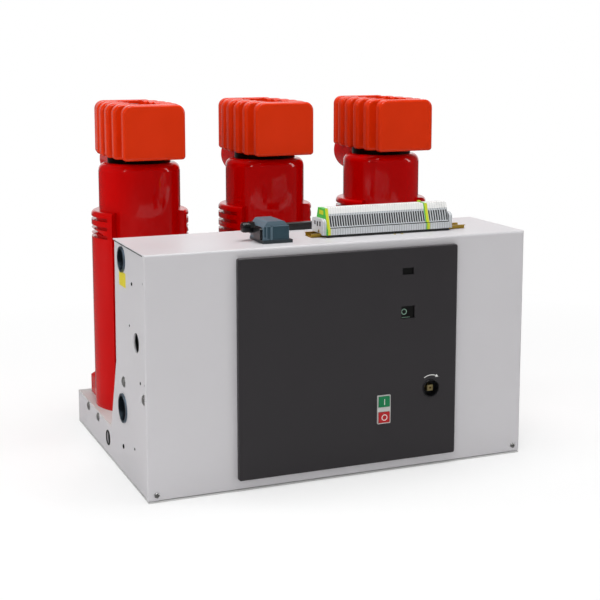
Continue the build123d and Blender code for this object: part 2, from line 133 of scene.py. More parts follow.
class BREAKER_PG_panel(bpy.types.PropertyGroup):
    plastic: colour_property("Panel", "Dark grey moulded front panel", "#333033")
    window: colour_property("Window", "Smoked windows", "#020202")
    surround: colour_property("Button frame", "Pale frame of the push-buttons", "#C9C9C6")
    bar: colour_property("Button bar", "Grey bar between the push-buttons", "#8B8E8D")
    on_button: colour_property("On-button", "Green push-button", "#077F4C")
    off_button: colour_property("Off-button", "Red push-button", "#B90F18")
    ink: colour_property("Ink", "White printed marks", "#E9E9E6")
    flag: colour_property("State flag", "Green flag behind the state window", "#7FA38F")
    brass: colour_property("Brass", "Trip shaft's end and the rail's screws", "#D2C08A")
    # This black also paints the shade in strips on the terminal row and on the hood's left end
    black: colour_property("Black plastic", "Socket, gland, lever and sleeve", "#141517")
    mark_width: length_property("Mark", "Width of the printed strokes", 1.5)


class BREAKER_PG_wiring(bpy.types.PropertyGroup):
    rail: colour_property("Rail", "Yellow passivated rail", "#C2A046")
    terminal: colour_property("Terminals", "Light grey polyamide", "#D6DADD")
    earth_green: colour_property("Earth green", "Green of the earth terminals", "#4CC24A")
    earth_yellow: colour_property("Earth yellow", "Yellow of the earth terminals", "#D6DE32")
    marker: colour_property("Marker strip", "White marker strip on the terminals", "#F8F8F6")
    hood: colour_property("Connector hood", "Blue-grey coated die casting", "#5A707D")
    hood_inset: colour_property("Hood inset", "Darker lower part of the hood", "#2F4A56")
    # This colour also paints the shade of two recesses between the hood's ribs
    base: colour_property("Connector base", "Dark base under the hood", "#2A353B")
    module_pitch: length_property("Module pitch", "Distance between two terminals", 5.2)


class BREAKER_PG_stage(bpy.types.PropertyGroup):
    floor: colour_property("Floor", "Pale floor and backdrop", "#FFFFFF")
    fill: bpy.props.FloatProperty(
        name="Fill", description="Strength of the even light from all sides", default=0.3, min=0
    )
    mirrored_floor: bpy.props.FloatProperty(
        name="Mirrored floor",
        description="Share of the floor's brightness that glossy parts mirror",
        default=0.25,
        min=0,
        max=1,
        subtype="FACTOR",
    )
    camera_place: bpy.props.FloatVectorProperty(
        name="Camera place",
        description="Where the camera stands",
        default=(-0.9762, -2.142, 0.8252),
        unit="LENGTH",
        subtype="TRANSLATION",
    )
    camera_yaw: bpy.props.FloatProperty(
        name="Camera yaw",
        description="Turn to the right",
        default=math.radians(22.45),
        unit="ROTATION",
    )
    camera_tilt: bpy.props.FloatProperty(
        name="Camera tilt",
        description="Tilt below level",
        default=math.radians(8.423),
        unit="ROTATION",
    )
    focal_pixels: bpy.props.FloatProperty(
        name="Focal length",
        description="Focal length in pixels of a 600 pixel wide frame",
        default=1290.2,
    )
    shift_up: bpy.props.FloatProperty(
        name="Shift",
        description="Vertical shift that keeps the uprights nearly parallel",
        default=-0.12,
    )


# Materials


def add_node(tree, kind, inputs=None, **settings):
    """Adds a node, sets its settings, and sets or links its inputs."""
    made = tree.nodes.new(kind)
    for key, value in settings.items():
        setattr(made, key, value)
    for key, value in (inputs or {}).items():
        if isinstance(value, bpy.types.NodeSocket):
            tree.links.new(value, made.inputs[key])
        else:
            made.inputs[key].default_value = value
    return made


def new_material(name):
    """An empty node material, its tree, and its object coordinates in metres."""
    material = bpy.data.materials.new(name)
    material.use_nodes = True
    tree = material.node_tree
    tree.nodes.clear()
    return material, tree, add_node(tree, "ShaderNodeTexCoord").outputs["Object"]


def per_millimetre(size):
    """Texture scale at which one feature is this many millimetres wide."""
    return 1 / (size * MM)


def toned(colour, brightness):
    """The colour made darker or lighter."""
    return tuple(min(1, c * brightness) for c in colour[:3]) + (1,)


def close_varied(tree, pattern, colour, tones, roughness, sockets, spread=(0.3, 0.7)):
    """Closes a material whose colour and roughness follow one pattern, across its spread."""
    tone = add_node(
        tree,
        "ShaderNodeMix",
        {"Factor": pattern.outputs[0], "A": toned(colour, tones[0]), "B": toned(colour, tones[1])},
        data_type="RGBA",
    )
    rough = add_node(
        tree,
        "ShaderNodeMapRange",
        {
            "Value": pattern.outputs[0],
            "From Min": spread[0],
            "From Max": spread[1],
            "To Min": roughness[0],
            "To Max": roughness[1],
        },
    )
    shader = add_node(
        tree,
        "ShaderNodeBsdfPrincipled",
        {"Base Color": tone.outputs["Result"], "Roughness": rough.outputs[0], **sockets},
    )
    add_node(tree, "ShaderNodeOutputMaterial", {"Surface": shader.outputs[0]})


def powder_coat(name, colour):
    # Polyester powder coat, sprayed and baked on sheet steel: a satin sheen broken by orange peel
    material, tree, place = new_material(name)
    # The real peel is about 0.5 mm across, and is drawn 1.6 mm across so that it shows
    peel = add_node(
        tree, "ShaderNodeTexNoise", {"Vector": place, "Scale": per_millimetre(1.6), "Detail": 2.0}
    )
    handling = add_node(
        tree, "ShaderNodeTexNoise", {"Vector": place, "Scale": per_millimetre(140), "Detail": 4.0}
    )
    bump = add_node(
        tree, "ShaderNodeBump", {"Height": peel.outputs[0], "Strength": 0.25, "Distance": 0.05 * MM}
    )
    close_varied(tree, handling, colour, (0.97, 1.02), (0.38, 0.5), {"Normal": bump.outputs[0]})
    return material


def cast_epoxy(name, colour):
    # Filled epoxy, cast in a polished mould: deep glossy colour with faint flow waves
    material, tree, place = new_material(name)
    waves = add_node(
        tree, "ShaderNodeTexNoise", {"Vector": place, "Scale": per_millimetre(55), "Detail": 2.0}
    )
    flow = add_node(
        tree, "ShaderNodeTexNoise", {"Vector": place, "Scale": per_millimetre(160), "Detail": 3.0}
    )
    bump = add_node(
        tree, "ShaderNodeBump", {"Height": waves.outputs[0], "Strength": 0.3, "Distance": 0.4 * MM}
    )
    sockets = {"IOR": 1.48, "Specular IOR Level": 0.36, "Normal": bump.outputs[0]}
    close_varied(tree, flow, colour, (0.92, 1.06), (0.06, 0.11), sockets)
    return material


def dipped_coating(name, colour):
    # Insulating epoxy that coats a hot casting: thick, glossy, slightly uneven, with rounded edges
    material, tree, place = new_material(name)
    runs = add_node(
        tree, "ShaderNodeTexNoise", {"Vector": place, "Scale": per_millimetre(22), "Detail": 3.0}
    )
    patches = add_node(
        tree, "ShaderNodeTexNoise", {"Vector": place, "Scale": per_millimetre(75), "Detail": 2.0}
    )
    bump = add_node(
        tree, "ShaderNodeBump", {"Height": runs.outputs[0], "Strength": 0.2, "Distance": 0.4 * MM}
    )
    sockets = {"IOR": 1.48, "Specular IOR Level": 0.3, "Normal": bump.outputs[0]}
    close_varied(tree, patches, colour, (0.9, 1.06), (0.12, 0.24), sockets, spread=(0.1, 0.9))
    return material


def plated_metal(name, colour, smoothest, roughest, mark_size):
    # Turned or drawn metal with an electroplated skin: metallic, with tool marks and dull spots
    material, tree, place = new_material(name)
    # Real tool marks are a few tenths of a millimetre apart, and are drawn 2 to 8 mm apart to show
    marks = add_node(
        tree,
        "ShaderNodeTexNoise",
        {"Vector": place, "Scale": per_millimetre(mark_size), "Detail": 4.0},
    )
    bump = add_node(
        tree, "ShaderNodeBump", {"Height": marks.outputs[0], "Strength": 0.2, "Distance": 0.05 * MM}
    )
    sockets = {"Metallic": 1.0, "Normal": bump.outputs[0]}
    close_varied(tree, marks, colour, (0.85, 1.08), (smoothest, roughest), sockets)
    return material


def moulded_plastic(name, colour, roughness, grain_size):
    # Injection-moulded thermoplastic: even and slightly dull from the mould's spark-eroded grain
    material, tree, place = new_material(name)
    # The real grain is 0.1 to 0.3 mm across, and is drawn 1 to 3 mm across so that it shows. The
    # smooth windows have a faint wave 20 mm across in its place.
    grain = add_node(
        tree,
        "ShaderNodeTexNoise",
        {"Vector": place, "Scale": per_millimetre(grain_size), "Detail": 3.0},
    )
    shading = add_node(
        tree, "ShaderNodeTexNoise", {"Vector": place, "Scale": per_millimetre(90), "Detail": 3.0}
    )
    bump = add_node(
        tree, "ShaderNodeBump", {"Height": grain.outputs[0], "Strength": 0.3, "Distance": 0.05 * MM}
    )
    sockets = {"IOR": 1.5, "Normal": bump.outputs[0]}
    rough_range = (roughness * 0.9, roughness * 1.12)
    close_varied(tree, shading, colour, (0.94, 1.05), rough_range, sockets)
    return material


def stacked_modules(name, colour, pitch):
    # Light grey polyamide terminals pressed side by side: a dark joint shows between each two
    joint_share = 0.12
    material, tree, place = new_material(name)
    across = add_node(tree, "ShaderNodeSeparateXYZ", {0: place}).outputs["X"]
    count = add_node(tree, "ShaderNodeMath", {0: across, 1: pitch}, operation="DIVIDE")
    within = add_node(tree, "ShaderNodeMath", {0: count.outputs[0]}, operation="FRACT")
    joint = add_node(
        tree, "ShaderNodeMath", {0: within.outputs[0], 1: joint_share}, operation="GREATER_THAN"
    )
    grain = add_node(
        tree, "ShaderNodeTexNoise", {"Vector": place, "Scale": per_millimetre(9), "Detail": 4.0}
    )
    tone = add_node(
        tree,
        "ShaderNodeMix",
        {"Factor": grain.outputs[0], "A": toned(colour, 0.88), "B": toned(colour, 1.08)},
        data_type="RGBA",
    )
    face = add_node(
        tree,
        "ShaderNodeMix",
        {"Factor": joint.outputs[0], "A": toned(colour, 0.35), "B": tone.outputs["Result"]},
        data_type="RGBA",
    )
    bump = add_node(
        tree, "ShaderNodeBump", {"Height": joint.outputs[0], "Strength": 0.4, "Distance": 0.3 * MM}
    )
    shader = add_node(
        tree,
        "ShaderNodeBsdfPrincipled",
        {"Base Color": face.outputs["Result"], "Roughness": 0.5, "Normal": bump.outputs[0]},
    )
    add_node(tree, "ShaderNodeOutputMaterial", {"Surface": shader.outputs[0]})
    return material


def zinc_plating(settings):
    """The finish of the housing's screws and bolts, made once and then shared."""
    name = "zinc-plated steel"
    return bpy.data.materials.get(name) or plated_metal(name, settings.zinc, 0.28, 0.42, 3)


def black_plastic_and_painted_shade(settings):
    """The finish of black wiring parts and of the black strips of painted shade, made once and then
    shared.
    """
    name = "black cable plastic and painted shade"
    return bpy.data.materials.get(name) or moulded_plastic(name, settings.black, 0.32, 1.5)


# Meshes


def finish_node(node, material):
    """Gives a CAD node its finish."""
    for material_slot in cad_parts[node].material_slots:
        material_slot.material = material


def add_piece(name, shape, material, body=BODY, smooth=True):
    """Turns a bmesh into a piece that rides on a CAD body."""
    mesh = bpy.data.meshes.new(name)
    bmesh.ops.recalc_face_normals(shape, faces=shape.faces)
    shape.to_mesh(mesh)
    shape.free()
    mesh.materials.append(material)
    if smooth:
        mesh.shade_smooth()
        mesh.set_sharp_from_angle(angle=math.radians(35))
    piece = bpy.data.objects.new(name, mesh)
    bpy.context.scene.collection.objects.link(piece)
    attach(piece, body)


def turned_to(axis, place):
    """Places a shape made along +Z so that it points along axis."""
    return Matrix.Translation(place) @ Vector(axis).to_track_quat("Z", "Y").to_matrix().to_4x4()


def circle(radius, steps):
    """Points evenly round a circle, as (x, y)."""
    angles = [FULL_TURN * i / steps for i in range(steps)]
    return [(radius * math.cos(angle), radius * math.sin(angle)) for angle in angles]


def pairs_round(loop):
    """Each item of a closed loop with its next."""
    return list(zip(loop, loop[1:] + loop[:1]))


def weld(shape):
    """Joins the vertices that lie on each other."""
    bmesh.ops.remove_doubles(shape, verts=shape.verts, dist=WELD_DISTANCE)


def turn_profile(shape, profile, axis, place, steps=32, closed_bottom=True, closed_top=True):
    """A turned shape from (radius, height) points, along axis."""
    spot = turned_to(axis, place)
    rings = []
    for radius, height in profile:
        points = circle(radius, steps) if radius else [(0, 0)]
        rings.append([shape.verts.new(spot @ Vector((x, y, height))) for x, y in points])
    for lower, upper in zip(rings, rings[1:]):
        for i in range(steps):
            j = (i + 1) % steps
            corners = (
                lower[i % len(lower)],
                lower[j % len(lower)],
                upper[j % len(upper)],
                upper[i % len(upper)],
            )
            # A point on the axis stands for two corners, and is kept once
            shape.faces.new(list(dict.fromkeys(corners)))
    for ring, closed in ((rings[0], closed_bottom), (rings[-1], closed_top)):
        if closed and len(ring) > 2:
            shape.faces.new(ring)


def add_block(shape, low, high, bevel=0.0):
    """A block between two corners, with rounded edges where a bevel is given."""
    low, high = Vector(low), Vector(high)
    made = bmesh.ops.create_cube(
        shape,
        size=1,
        matrix=Matrix.Translation((low + high) / 2) @ Matrix.Diagonal((*(high - low), 1)),
    )
    if bevel:
        edges = list({e for v in made["verts"] for e in v.link_edges})
        bmesh.ops.bevel(shape, geom=edges, offset=bevel, segments=2, profile=0.6, affect="EDGES")


def add_side_plaque(shape, face, side, thickness, low, high, bevel=0.0):
    """A thin block on a side plate's outer face, between two (y, z) corners in metres."""
    inner, outer = sorted((face, face + side * thickness))
    add_block(shape, (inner, *low), (outer, *high), bevel)


def add_hex_bolt(shape, place, axis, across, height, washer):
    """A hexagon head, by its size across flats, on a round washer."""
    across_corners = across / math.cos(math.pi / 6) / 2
    chamfer, washer_top = 0.06 * across, 0.07 * across
    turn_profile(
        shape,
        [(washer, 0), (washer, 0.04 * across), (washer * 0.96, washer_top), (0, washer_top)],
        axis,
        place,
    )
    turn_profile(
        shape,
        [
            (across_corners, chamfer),
            (across_corners, height - chamfer),
            (across_corners * 0.9, height),
            (0, height),
        ],
        axis,
        place,
        steps=6,
    )


def add_pan_screw(shape, place, axis, radius):
    """A domed head with a sunk cross."""
    steps = 24
    top_radius, top_height = radius * 0.78, radius * 0.5
    cross_reach, cross_half, cross_floor = radius * 0.55, radius * 0.15, radius * 0.12
    turn_profile(
        shape,
        [(radius, 0), (radius * 0.97, radius * 0.3), (top_radius, top_height)],
        axis,
        place,
        steps=steps,
        closed_top=False,
    )
    spot = turned_to(axis, place)
    cross = []
    for turn in range(4):
        c, s = math.cos(turn * math.pi / 2), math.sin(turn * math.pi / 2)
        for x, y in (
            (cross_reach, -cross_half),
            (cross_reach, cross_half),
            (cross_half, cross_half),
        ):
            cross.append((x * c - y * s, x * s + y * c))
    rim_loop, cross_loop = (
        [shape.verts.new(spot @ Vector((x, y, top_height))) for x, y in points]
        for points in (circle(top_radius, steps), cross)
    )
    edges = [shape.edges.new(pair) for loop in (rim_loop, cross_loop) for pair in pairs_round(loop)]
    bmesh.ops.triangle_fill(shape, use_beauty=True, edges=edges)
    floor_loop = [shape.verts.new(spot @ Vector((x, y, cross_floor))) for x, y in cross]
    for (a, b), (d, c) in zip(pairs_round(cross_loop), pairs_round(floor_loop)):
        shape.faces.new((a, b, c, d))
    shape.faces.new(floor_loop)
    weld(shape)


def add_rivet(shape, place, axis, radius):
    """A hollow rivet: a rolled rim round an open middle."""
    profile = ((1, 0), (0.95, 0.2), (0.8, 0.28), (0.66, 0.2), (0.62, 0.03), (0, 0.03))
    turn_profile(
        shape, [(radius * out, radius * up) for out, up in profile], axis, place, steps=20
    )


def add_arc_mark(shape, centre, radius, width, start, end, depth, steps):
    """A flat arc in the plane of the panel, as printed ink."""
    corners = []
    for i in range(steps + 1):
        angle = start + (end - start) * i / steps
        for r in (radius - width / 2, radius + width / 2):
            x, z = centre.x + r * math.cos(angle), centre.z + r * math.sin(angle)
            corners.append(shape.verts.new((x, depth, z)))
    for i in range(0, 2 * steps, 2):
        shape.faces.new((corners[i], corners[i + 1], corners[i + 3], corners[i + 2]))


def add_ring_mark(shape, centre, radius, width, depth, steps):
    """A whole ring in the plane of the panel, as printed ink."""
    add_arc_mark(shape, centre, radius, width, 0, FULL_TURN, depth, steps)
    weld(shape)


def add_flat(shape, corners):
    """A flat face from its corners."""
    shape.faces.new([shape.verts.new(corner) for corner in corners])


def add_bar_mark(shape, left, right, bottom, top, depth):
    """A flat bar in the plane of the panel, as printed ink."""
    add_flat(
        shape,
        [
            (left, depth, bottom),
            (right, depth, bottom),
            (right, depth, top),
            (left, depth, top),
        ],
    )


def print_marks(shape, thickness):
    """Gives flat marks on the panel the thickness of ink, so that they are closed solids."""
    made = bmesh.ops.extrude_face_region(shape, geom=list(shape.faces), use_keep_orig=True)
    moved = [v for v in made["geom"] if isinstance(v, bmesh.types.BMVert)]
    bmesh.ops.translate(shape, verts=moved, vec=(0, -thickness, 0))


def add_prism(shape, outline, left, right):
    """A bar along X with a cross-section of (y, z) points."""
    ends = [[shape.verts.new((x, y, z)) for y, z in outline] for x in (left, right)]
    for (a, b), (d, c) in zip(pairs_round(ends[0]), pairs_round(ends[1])):
        shape.faces.new((a, b, c, d))
    shape.faces.new(ends[0])
    shape.faces.new(ends[1])


def skin(points, out):
    """Cross-section of a skin on the (y, z) points, which stands out by (y, z) millimetres."""
    return points + [(y + out[0] * MM, z + out[1] * MM) for y, z in reversed(points)]


# Camera and stage

FRAME_WIDTH = 600  # pixels
SENSOR_WIDTH = 36  # millimetres
FLOOR_REACH = 6.0  # metres to each side
# The floor fades to plain white within 1 / FLOOR_FADE metres
FLOOR_FADE = 0.55
# Name, place, aim, width and height in metres, power in watts, and whether matt and glossy parts
# see the lamp. Narrow strips give the gloss its highlights, and the broad lamps give the light.
LAMPS = (
    ("window_left", (-2.7, 1.1, 1.3), (0, 0.2, 0.4), (0.6, 2.0), 21, True, False),
    ("front", (-2.2, -3.1, 1.7), (0, 0.2, 0.4), (1.2, 1.4), 31, True, False),
    ("window_right", (2.3, -1.4, 1.6), (0, 0.2, 0.4), (0.3, 1.6), 7, True, False),
    ("ceiling", (0.1, 0.1, 3.0), (0, 0.3, 0.3), (2.2, 1.6), 60, True, True),
    ("strip_left", (-2.5, -1.0, 1.5), (0, 0.3, 0.5), (0.12, 1.3), 3, False, True),
    ("strip_right", (2.6, -0.5, 1.4), (0, 0.3, 0.5), (0.35, 1.8), 14, False, True),
    ("strip_top", (-0.6, -1.3, 2.6), (0, 0.2, 0.5), (0.9, 0.16), 14, False, True),
)


def studio_world(settings):
    """White for the camera, an even fill for the light, and a backdrop that gloss mirrors."""
    world = bpy.data.worlds.new("studio")
    world.use_nodes = True
    tree = world.node_tree
    tree.nodes.clear()
    path = add_node(tree, "ShaderNodeLightPath")
    direction = add_node(tree, "ShaderNodeTexCoord").outputs["Generated"]
    ahead = (math.sin(settings.camera_yaw), math.cos(settings.camera_yaw), 0)
    along = add_node(
        tree, "ShaderNodeVectorMath", {0: direction, 1: ahead}, operation="DOT_PRODUCT"
    )
    # The backdrop stands behind the object and falls off to a dark room at its sides
    backdrop = add_node(
        tree,
        "ShaderNodeMapRange",
        {
            "Value": along.outputs["Value"],
            "From Min": 0.76,
            "From Max": 0.95,
            "To Min": 0.1,
            "To Max": 1.0,
        },
    )
    fill, mirrored, white = (
        add_node(tree, "ShaderNodeBackground", {"Color": WHITE, "Strength": strength}).outputs[0]
        for strength in (settings.fill, backdrop.outputs[0], 1.0)
    )
    unseen = add_node(
        tree, "ShaderNodeMixShader", {0: path.outputs["Is Glossy Ray"], 1: fill, 2: mirrored}
    )
    seen = add_node(
        tree,
        "ShaderNodeMixShader",
        {0: path.outputs["Is Camera Ray"], 1: unseen.outputs[0], 2: white},
    )
    add_node(tree, "ShaderNodeOutputWorld", {"Surface": seen.outputs[0]})
    return world


def seamless_paper(settings):
    # Matt white background paper: it keeps the object's shadow and fades to plain white around it
    material, tree, place = new_material("seamless paper")
    path = add_node(tree, "ShaderNodeLightPath")
    dim = add_node(
        tree,
        "ShaderNodeMix",
        {
            "Factor": path.outputs["Is Glossy Ray"],
            "A": settings.floor,
            "B": toned(settings.floor, settings.mirrored_floor),
        },
        data_type="RGBA",
    )
    paper = add_node(tree, "ShaderNodeBsdfDiffuse", {"Color": dim.outputs["Result"]})
    glow = add_node(tree, "ShaderNodeEmission", {"Color": settings.floor, "Strength": 1.0})
    shrunk = add_node(tree, "ShaderNodeMapping", {"Vector": place, "Scale": (FLOOR_FADE,) * 3})
    near = add_node(
        tree, "ShaderNodeTexGradient", {"Vector": shrunk.outputs[0]}, gradient_type="SPHERICAL"
    )
    glow_share = add_node(
        tree,
        "ShaderNodeMapRange",
        {
            "Value": near.outputs["Fac"],
            "From Min": 0.0,
            "From Max": 0.7,
            "To Min": 1.0,
            "To Max": 0.55,
        },
    )
    seen = add_node(
        tree,
        "ShaderNodeMath",
        {0: glow_share.outputs[0], 1: path.outputs["Is Camera Ray"]},
        operation="MULTIPLY",
    )
    mix = add_node(
        tree, "ShaderNodeMixShader", {0: seen.outputs[0], 1: paper.outputs[0], 2: glow.outputs[0]}
    )
    add_node(tree, "ShaderNodeOutputMaterial", {"Surface": mix.outputs[0]})
    return material


def add_lamp(scene, name, place, aim, size, power, seen_by_matt, seen_by_gloss):
    """A rectangular lamp that points at its aim."""
    data = bpy.data.lights.new(name, "AREA")
    data.shape = "RECTANGLE"
    data.size, data.size_y = size
    data.energy = power
    lamp = bpy.data.objects.new(name, data)
    lamp.location = place
    lamp.rotation_euler = (Vector(aim) - Vector(place)).to_track_quat("-Z", "Y").to_euler()
    lamp.visible_diffuse = seen_by_matt
    lamp.visible_glossy = seen_by_gloss
    scene.collection.objects.link(lamp)


class BREAKER_OT_camera(bpy.types.Operator):
    """Make the camera at the photograph's viewing angle"""

    bl_idname = "breaker.camera"
    bl_label = "Camera"

    def execute(self, context):
        settings = context.scene.breaker_stage
        camera = bpy.data.objects.new("camera", bpy.data.cameras.new("camera"))
        context.scene.collection.objects.link(camera)
        camera.data.sensor_width = SENSOR_WIDTH
        camera.data.lens = settings.focal_pixels / FRAME_WIDTH * SENSOR_WIDTH
        camera.data.shift_y = settings.shift_up
        camera.location = settings.camera_place
        camera.rotation_euler = (math.pi / 2 - settings.camera_tilt, 0, -settings.camera_yaw)
        context.scene.camera = camera
        return {"FINISHED"}


class BREAKER_OT_stage(bpy.types.Operator):
    """Make the pale floor and backdrop and the soft studio light"""

    bl_idname = "breaker.stage"
    bl_label = "Stage and light"

    def execute(self, context):
        scene = context.scene
        settings = scene.breaker_stage
        scene.view_settings.view_transform = "Standard"
        scene.world = studio_world(settings)

        shape = bmesh.new()
        around = ((-1, -1), (1, -1), (1, 1), (-1, 1))
        add_flat(shape, [(x * FLOOR_REACH, y * FLOOR_REACH, 0) for x, y in around])
        mesh = bpy.data.meshes.new("floor")
        shape.to_mesh(mesh)
        shape.free()
        mesh.materials.append(seamless_paper(settings))
        floor = bpy.data.objects.new("floor", mesh)
        scene.collection.objects.link(floor)

        for lamp in LAMPS:
            add_lamp(scene, *lamp)
        return {"FINISHED"}


# Housing, with sizes and places in millimetres

COVER_SCREWS = ((-368, 14), (369, 16))  # x, z
SIDE_BOLTS = ((159, 185, 15), (19, 186, 14), (454, 59, 13), (371, 58, 13))  # y, z, across flats
# Lower than real heads, so that nothing reaches past the CAD's box
SIDE_BOLT_HEIGHT = 2.9
SIDE_WASHER_RADIUS = 0.7  # times the size across flats
# Hollow rivets in near-black: real rivets, whose colour also paints the shade of the small holes
# they sit in
SIDE_RIVETS = (  # y, z, radius
    (89, 384, 3.4),
    (14, 397, 2.6),
    (42, 211, 2.8),
    (13, 214, 2.8),
    (170, 56, 4.6),
    (110, 303, 2.2),
    (89, 75, 2.6),
)
# A black strip along the top of each side plate paints the shade in the gap under the cover's top:
# its ends, its reach below and above the plate's top, and its thickness
GAP_SHADE_ENDS = (11, 206)  # y
GAP_SHADE_BELOW, GAP_SHADE_ABOVE, GAP_SHADE_THICKNESS = 1, 1.2, 0.9
REAR_HOLE = (291, 38)  # y, z
# Radius and height round the section of the rubber edging
EDGING = ((12.2, 0), (12.2, 1.2), (12.8, 1.6), (14.6, 1.4), (15.2, 0.6), (15.2, 0))
MARKER_LOW, MARKER_HIGH = (132, 368), (178, 395)  # y, z
MARKER_THICKNESS, MARKER_BEVEL = 0.4, 0.15


class BREAKER_OT_housing(bpy.types.Operator):
    """Finish the sheet-steel housing and base, and add the screws of the cover"""

    bl_idname = "breaker.housing"
    bl_label = "Housing"

    def execute(self, context):
        settings = context.scene.breaker_housing
        paint = powder_coat("light grey powder coat", settings.paint)
        base_paint = powder_coat("base powder coat", settings.base_paint)
        tube = plated_metal("blue-grey plated steel tube", settings.tube, 0.3, 0.45, 6)
        zinc = zinc_plating(settings)
        for node in ("front_cover", "side_plate_left", "side_plate_right", "back_plate"):
            finish_node(node, paint)
        for node in ("base_plate", "rear_deck"):
            finish_node(node, base_paint)
        for level in ("upper", "lower"):
            for name, _ in SIDES:
                finish_node(f"{level}_lifting_tube_{name}", tube)

        face = box_of("front_cover")[0].y
        shape = bmesh.new()
        for x, z in COVER_SCREWS:
            add_pan_screw(shape, (x * MM, face, z * MM), (0, -1, 0), settings.screw_radius)
        add_piece("cover_screws", shape, zinc)
        return {"FINISHED"}


class BREAKER_OT_side_fittings(bpy.types.Operator):
    """Add the bolts, rivets, edging and marker of the two side plates, and a black strip of painted
    shade along the gap under the cover
    """

    bl_idname = "breaker.side_fittings"
    bl_label = "Side fittings"

    def execute(self, context):
        settings = context.scene.breaker_housing
        zinc = zinc_plating(settings)
        # The rivets' near-black partly paints the shade of small holes
        dark = plated_metal("dark rivet steel and painted hole shade", settings.rivet, 0.4, 0.55, 2)
        # The edge rubber also paints the shade in the gap under the cover
        rubber_and_gap_shade = moulded_plastic("black edge rubber", settings.rubber_and_gap_shade, 0.55, 1)
        film = moulded_plastic("yellow marking film", settings.marker, 0.4, 3)
        for name, side in SIDES:
            low, high = box_of(f"side_plate_{name}")
            face = low.x if side < 0 else high.x
            axis = (side, 0, 0)

            shape = bmesh.new()
            for y, z, across in SIDE_BOLTS:
                place = (face, y * MM, z * MM)
                washer = SIDE_WASHER_RADIUS * across * MM
                add_hex_bolt(shape, place, axis, across * MM, SIDE_BOLT_HEIGHT * MM, washer)
            add_piece(f"side_bolts_{name}", shape, zinc)

            shape = bmesh.new()
            for y, z, radius in SIDE_RIVETS:
                add_rivet(shape, (face, y * MM, z * MM), axis, radius * MM)
            add_piece(f"side_rivets_{name}", shape, dark)

            # A black strip of painted shade along the gap under the cover's top
            shape = bmesh.new()
            gap_shade_low = (GAP_SHADE_ENDS[0] * MM, high.z - GAP_SHADE_BELOW * MM)
            gap_shade_high = (GAP_SHADE_ENDS[1] * MM, high.z + GAP_SHADE_ABOVE * MM)
            add_side_plaque(shape, face, side, GAP_SHADE_THICKNESS * MM, gap_shade_low, gap_shade_high)
            add_piece(f"cover_gap_shade_{name}", shape, rubber_and_gap_shade, smooth=False)

            shape = bmesh.new()
            turn_profile(
                shape,
                [(radius * MM, height * MM) for radius, height in (*EDGING, EDGING[0])],
                axis,
                (face, REAR_HOLE[0] * MM, REAR_HOLE[1] * MM),
                closed_bottom=False,
                closed_top=False,
            )
            weld(shape)
            add_piece(f"rear_hole_edging_{name}", shape, rubber_and_gap_shade)

            shape = bmesh.new()
            marker_low, marker_high = (
                [value * MM for value in corner] for corner in (MARKER_LOW, MARKER_HIGH)
            )
            thickness, bevel = MARKER_THICKNESS * MM, MARKER_BEVEL * MM
            add_side_plaque(shape, face, side, thickness, marker_low, marker_high, bevel)
            add_piece(f"lifting_marker_{name}", shape, film, smooth=False)
        return {"FINISHED"}


# Poles, in millimetres

POCKET_DEPTH = 14
SINK_BOLT_OFFSET = 38  # to the front and to the back of the pocket's middle
SINK_BOLT_ACROSS, SINK_BOLT_HEIGHT, SINK_BOLT_WASHER = 19, 9, 15


class BREAKER_OT_poles(bpy.types.Operator):
    """Finish the cast poles, contact blocks, terminals and heat sinks, and add their bolts"""

    bl_idname = "breaker.poles"
    bl_label = "Poles and heat sinks"

    def execute(self, context):
        settings = context.scene.breaker_poles
        resin = cast_epoxy("red cast epoxy", settings.resin)
        coating = dipped_coating("red dipped coating", settings.coating)
        # The contact blocks' near-black paints the shade of the gap under the heat sinks
        contact = plated_metal("copper darkened as painted shade", settings.contact, 0.4, 0.6, 8)
        tin = plated_metal("tinned copper", settings.tin, 0.25, 0.4, 5)
        # Real bolts, whose near-black also paints the shade in the heat sinks' pockets
        bolt_metal = plated_metal("steel darkened as painted pocket shade", settings.contact, 0.35, 0.5, 3)
        for place in PLACES:
            finish_node(f"pole_{place}", resin)
            finish_node(f"heat_sink_{place}", coating)
            finish_node(f"top_contact_{place}", contact)
            finish_node(f"upper_terminal_{place}", tin)
            finish_node(f"lower_terminal_{place}", tin)

            centre = middle_of(f"heat_sink_{place}")
            pocket_floor = box_of(f"heat_sink_{place}")[1].z - POCKET_DEPTH * MM
            shape = bmesh.new()
            for step in (-1, 1):
                add_hex_bolt(
                    shape,
                    (centre.x, centre.y + step * SINK_BOLT_OFFSET * MM, pocket_floor),
                    (0, 0, 1),
                    SINK_BOLT_ACROSS * MM,
                    SINK_BOLT_HEIGHT * MM,
                    SINK_BOLT_WASHER * MM,
                )
            add_piece(f"sink_bolts_{place}", shape, bolt_metal)
        return {"FINISHED"}


# Front panel, in millimetres and degrees

INK_THICKNESS = 0.05
BAR_HALF_HEIGHT, BAR_HALF_WIDTH = 5.7, 0.45  # the width in stroke widths
RING_RADIUS, RING_STEPS = 5.3, 32
ARROW_RADIUS, ARROW_START, ARROW_END, ARROW_STEPS = 26, 124, 66, 14
ARROW_HEAD_HALF, ARROW_HEAD_LENGTH = 3, 6
STATE_RING_OFFSET = (-7, 0, 1)
STATE_RING_RADIUS, STATE_RING_WIDTH, STATE_RING_STEPS = 5, 1.6, 28
STATE_LINE_LEFT, STATE_LINE_RIGHT, STATE_LINE_FOOT, STATE_LINE_HEIGHT = 2, 9, 1.5, 0.9


